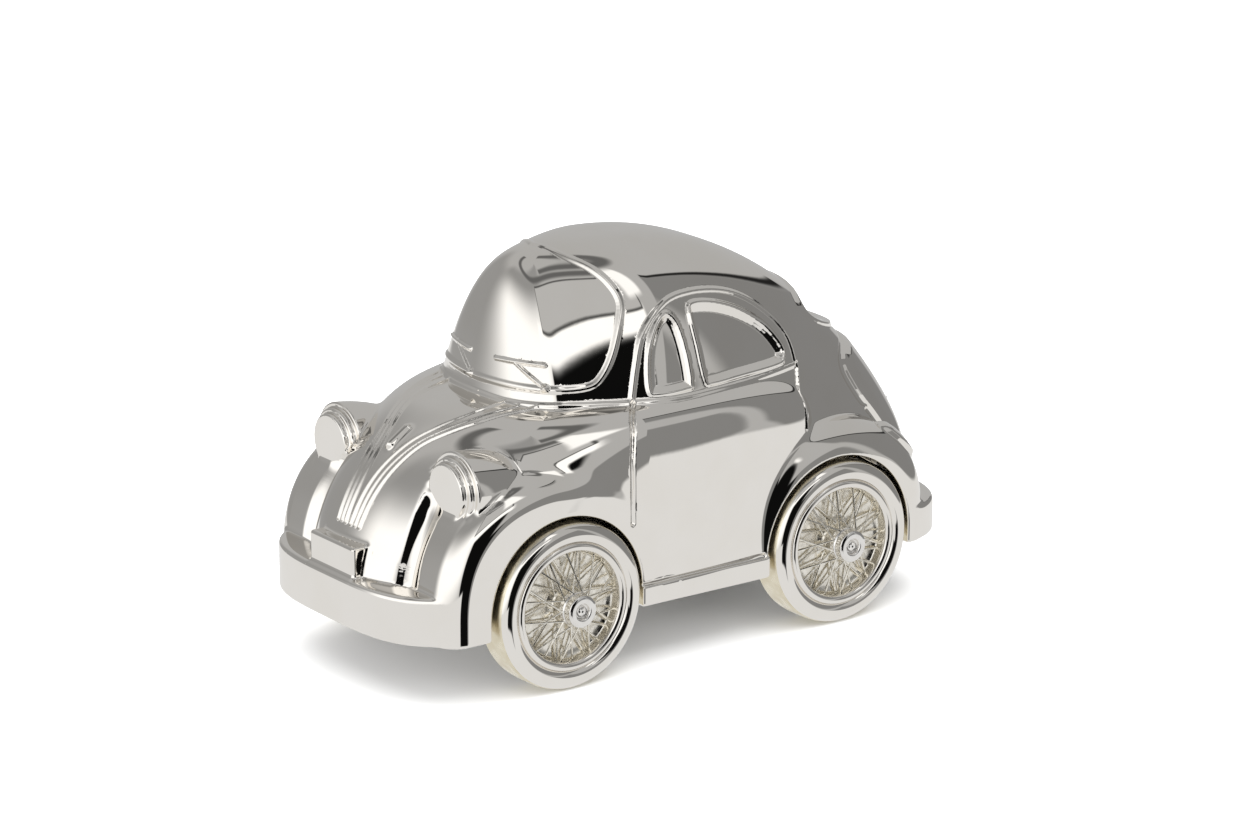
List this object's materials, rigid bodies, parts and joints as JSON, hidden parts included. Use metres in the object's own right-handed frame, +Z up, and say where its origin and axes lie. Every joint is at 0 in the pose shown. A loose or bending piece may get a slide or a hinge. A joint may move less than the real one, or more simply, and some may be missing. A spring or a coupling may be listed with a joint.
{
  "type": "pull back car",
  "caption": "Rounded toy saloon car in polished metal plate, with wire wheels on two turning axles and a wind-up pull-back motor inside.",
  "frame": {"origin": "on the ground, under the middle of the car's length and width", "axes": "+Z up, -Y towards the nose, +X to the car's left, along the axles"},
  "size_m": [0.0774, 0.1456, 0.0871],
  "materials": {
    "polished_plate": "mirror-polished nickel or silver plate on a zinc casting",
    "satin_plate": "the same plate, less polished between the spokes",
    "zinc_plate": "plain plated sheet",
    "steel": "bright drawn steel",
    "brass": "turned and stamped brass",
    "motor_plastic": "black moulded plastic"
  },
  "bodies": {
    "chassis": {"body_shell": "polished_plate", "base_plate": "zinc_plate", "base_screw_front_left": "steel", "base_screw_front_right": "steel", "base_screw_rear_left": "steel", "base_screw_rear_right": "steel", "front_axle_bracket_left": "brass", "front_axle_bracket_right": "brass", "rear_axle_bracket_left": "brass", "rear_axle_bracket_right": "brass", "motor_case_left": "motor_plastic", "motor_case_right": "motor_plastic", "barrel_arbor": "steel"},
    "front_axle_set": {"front_axle": "steel", "tyre_front_left": "polished_plate", "wire_wheel_front_left": "satin_plate", "hub_cap_front_left": "polished_plate", "tyre_front_right": "polished_plate", "wire_wheel_front_right": "satin_plate", "hub_cap_front_right": "polished_plate"},
    "rear_axle_set": {"rear_axle": "steel", "tyre_rear_left": "polished_plate", "wire_wheel_rear_left": "satin_plate", "hub_cap_rear_left": "polished_plate", "tyre_rear_right": "polished_plate", "wire_wheel_rear_right": "satin_plate", "hub_cap_rear_right": "polished_plate", "axle_pinion": "brass"},
    "idler": {"idler_wheel": "brass", "idler_pinion": "brass", "idler_shaft": "steel"},
    "barrel": {"barrel_gear": "brass", "spring_drum": "brass", "mainspring": "steel"}
  },
  "joints": [
    {"name": "front_axle_spin", "type": "hinge", "parent": "chassis", "child": "front_axle_set", "pos_m": [0, -0.03455, 0.01825], "axis": [1, 0, 0], "continuous": true},
    {"name": "rear_axle_spin", "type": "hinge", "parent": "chassis", "child": "rear_axle_set", "pos_m": [0, 0.03745, 0.01825], "axis": [1, 0, 0], "continuous": true},
    {"name": "idler_spin", "type": "hinge", "parent": "chassis", "child": "idler", "pos_m": [0, 0.03226, 0.0268], "axis": [1, 0, 0], "continuous": true},
    {"name": "barrel_spin", "type": "hinge", "parent": "chassis", "child": "barrel", "pos_m": [0, 0.01989, 0.0286], "axis": [1, 0, 0], "continuous": true}
  ],
  "couplings": [
    {"joint": "idler_spin", "follows": "rear_axle_spin", "ratio": -0.33333},
    {"joint": "barrel_spin", "follows": "rear_axle_spin", "ratio": 0.083333}
  ]
}
